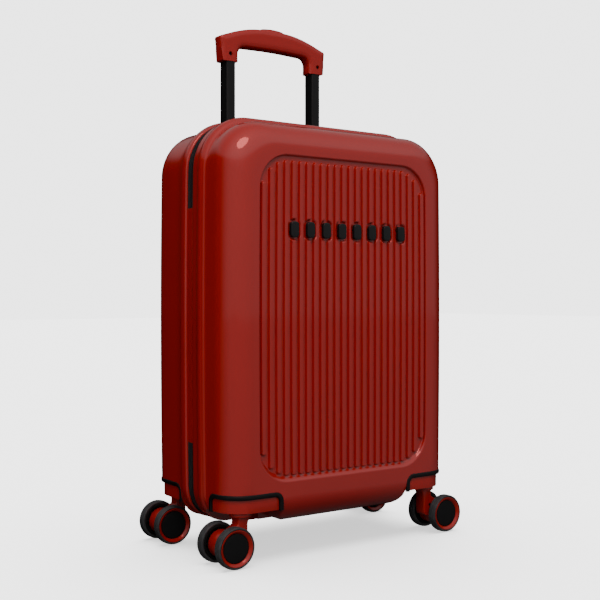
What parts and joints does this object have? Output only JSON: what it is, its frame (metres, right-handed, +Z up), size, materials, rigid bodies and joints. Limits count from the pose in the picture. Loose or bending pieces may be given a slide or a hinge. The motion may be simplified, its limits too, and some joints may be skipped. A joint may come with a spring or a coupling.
{
  "type": "cabin suitcase",
  "caption": "Hard-shell cabin suitcase with a side-hinged zipped lid, telescopic pull handle, carry handles and swivelling twin-wheel casters.",
  "frame": {"origin": "on the ground under the middle of the suitcase", "axes": "+Z up, +Y towards the back, where the telescopic handle stands, +X towards the lock side; the ribbed front faces -Y and the lid is hinged on the -X side"},
  "size_m": [0.3892, 0.2072, 0.6999],
  "materials": {
    "shell": "gloss",
    "red_plastic": "semi-gloss",
    "black_plastic": "matt",
    "rubber_trim": "matt",
    "tyre": "matt",
    "zip_tape": "woven",
    "handle_tube": "black satin",
    "hardware": "dark"
  },
  "bodies": {
    "case": {"rear_shell": "shell", "hinge_strip": "red_plastic", "rear_zip_tape": "zip_tape", "trolley_frame": "handle_tube", "handle_well": "black_plastic", "lock_body": "black_plastic", "guard_rear_left": "red_plastic", "guard_rear_right": "red_plastic", "trim_rear_left": "rubber_trim", "trim_rear_right": "rubber_trim"},
    "lid": {"front_shell": "shell", "front_zip_tape": "zip_tape", "guard_front_left": "red_plastic", "guard_front_right": "red_plastic", "trim_front_left": "rubber_trim", "trim_front_right": "rubber_trim"},
    "mid_stage": {"mid_tube_left": "handle_tube", "mid_tube_right": "handle_tube"},
    "handle_stage": {"top_tube_left": "handle_tube", "top_tube_right": "handle_tube", "grip": "red_plastic"},
    "release_button": {"grip_button": "red_plastic"},
    "top_carry": {"top_handle": "red_plastic"},
    "side_carry": {"side_handle": "red_plastic"},
    "upper_slider": {"upper_zip_pull": "hardware"},
    "lower_slider": {"lower_zip_pull": "hardware"},
    "lock_button": {"lock_release": "red_plastic"},
    "caster_front_left": {"fork_front_left": "red_plastic", "axle_front_left": "hardware"},
    "wheel_front_left_a": {"hub_front_left_a": "red_plastic", "tyre_front_left_a": "tyre", "cap_front_left_a": "black_plastic"},
    "wheel_front_left_b": {"hub_front_left_b": "red_plastic", "tyre_front_left_b": "tyre", "cap_front_left_b": "black_plastic"},
    "caster_front_right": {"fork_front_right": "red_plastic", "axle_front_right": "hardware"},
    "wheel_front_right_a": {"hub_front_right_a": "red_plastic", "tyre_front_right_a": "tyre", "cap_front_right_a": "black_plastic"},
    "wheel_front_right_b": {"hub_front_right_b": "red_plastic", "tyre_front_right_b": "tyre", "cap_front_right_b": "black_plastic"},
    "caster_rear_left": {"fork_rear_left": "red_plastic", "axle_rear_left": "hardware"},
    "wheel_rear_left_a": {"hub_rear_left_a": "red_plastic", "tyre_rear_left_a": "tyre", "cap_rear_left_a": "black_plastic"},
    "wheel_rear_left_b": {"hub_rear_left_b": "red_plastic", "tyre_rear_left_b": "tyre", "cap_rear_left_b": "black_plastic"},
    "caster_rear_right": {"fork_rear_right": "red_plastic", "axle_rear_right": "hardware"},
    "wheel_rear_right_a": {"hub_rear_right_a": "red_plastic", "tyre_rear_right_a": "tyre", "cap_rear_right_a": "black_plastic"},
    "wheel_rear_right_b": {"hub_rear_right_b": "red_plastic", "tyre_rear_right_b": "tyre", "cap_rear_right_b": "black_plastic"}
  },
  "joints": [
    {"name": "lid_hinge", "type": "hinge", "parent": "case", "child": "lid", "pos_m": [-0.18479, -0.00698, 0.291], "axis": [0, 0, -1], "range_deg": [0, 145]},
    {"name": "mid_stage_slide", "type": "slide", "parent": "case", "child": "mid_stage", "axis": [0, 0, 1], "range_m": [0, 0.23]},
    {"name": "handle_stage_slide", "type": "slide", "parent": "mid_stage", "child": "handle_stage", "axis": [0, 0, 1], "range_m": [-0.155, 0.077]},
    {"name": "release_button_press", "type": "slide", "parent": "handle_stage", "child": "release_button", "axis": [0, 0, -1], "range_m": [0, 0.004], "stiffness_N_per_m": 300},
    {"name": "top_carry_lift", "type": "slide", "parent": "case", "child": "top_carry", "axis": [0, 0, 1], "range_m": [0, 0.012], "stiffness_N_per_m": 200},
    {"name": "side_carry_lift", "type": "slide", "parent": "case", "child": "side_carry", "axis": [1, 0, 0], "range_m": [0, 0.012], "stiffness_N_per_m": 200},
    {"name": "upper_slider_run", "type": "slide", "parent": "case", "child": "upper_slider", "axis": [0, 0, 1], "range_m": [0, 0.12]},
    {"name": "lower_slider_run", "type": "slide", "parent": "case", "child": "lower_slider", "axis": [0, 0, -1], "range_m": [0, 0.16]},
    {"name": "lock_button_press", "type": "slide", "parent": "case", "child": "lock_button", "axis": [-1, 0, 0], "range_m": [0, 0.0015], "stiffness_N_per_m": 400},
    {"name": "swivel_front_left", "type": "hinge", "parent": "lid", "child": "caster_front_left", "pos_m": [-0.14841, -0.07663, 0.0582], "axis": [0, 0, 1], "continuous": true},
    {"name": "wheel_spin_front_left_a", "type": "hinge", "parent": "caster_front_left", "child": "wheel_front_left_a", "pos_m": [-0.16946, -0.09719, 0.02512], "axis": [0, 1, 0], "continuous": true},
    {"name": "wheel_spin_front_left_b", "type": "hinge", "parent": "caster_front_left", "child": "wheel_front_left_b", "pos_m": [-0.16946, -0.05607, 0.02512], "axis": [0, 1, 0], "continuous": true},
    {"name": "swivel_front_right", "type": "hinge", "parent": "lid", "child": "caster_front_right", "pos_m": [0.14841, -0.07663, 0.0582], "axis": [0, 0, 1], "continuous": true},
    {"name": "wheel_spin_front_right_a", "type": "hinge", "parent": "caster_front_right", "child": "wheel_front_right_a", "pos_m": [0.16946, -0.09719, 0.02512], "axis": [0, 1, 0], "continuous": true},
    {"name": "wheel_spin_front_right_b", "type": "hinge", "parent": "caster_front_right", "child": "wheel_front_right_b", "pos_m": [0.16946, -0.05607, 0.02512], "axis": [0, 1, 0], "continuous": true},
    {"name": "swivel_rear_left", "type": "hinge", "parent": "case", "child": "caster_rear_left", "pos_m": [-0.14841, 0.07663, 0.0582], "axis": [0, 0, 1], "continuous": true},
    {"name": "wheel_spin_rear_left_a", "type": "hinge", "parent": "caster_rear_left", "child": "wheel_rear_left_a", "pos_m": [-0.16946, 0.05607, 0.02512], "axis": [0, 1, 0], "continuous": true},
    {"name": "wheel_spin_rear_left_b", "type": "hinge", "parent": "caster_rear_left", "child": "wheel_rear_left_b", "pos_m": [-0.16946, 0.09719, 0.02512], "axis": [0, 1, 0], "continuous": true},
    {"name": "swivel_rear_right", "type": "hinge", "parent": "case", "child": "caster_rear_right", "pos_m": [0.14841, 0.07663, 0.0582], "axis": [0, 0, 1], "continuous": true},
    {"name": "wheel_spin_rear_right_a", "type": "hinge", "parent": "caster_rear_right", "child": "wheel_rear_right_a", "pos_m": [0.16946, 0.05607, 0.02512], "axis": [0, 1, 0], "continuous": true},
    {"name": "wheel_spin_rear_right_b", "type": "hinge", "parent": "caster_rear_right", "child": "wheel_rear_right_b", "pos_m": [0.16946, 0.09719, 0.02512], "axis": [0, 1, 0], "continuous": true}
  ]
}
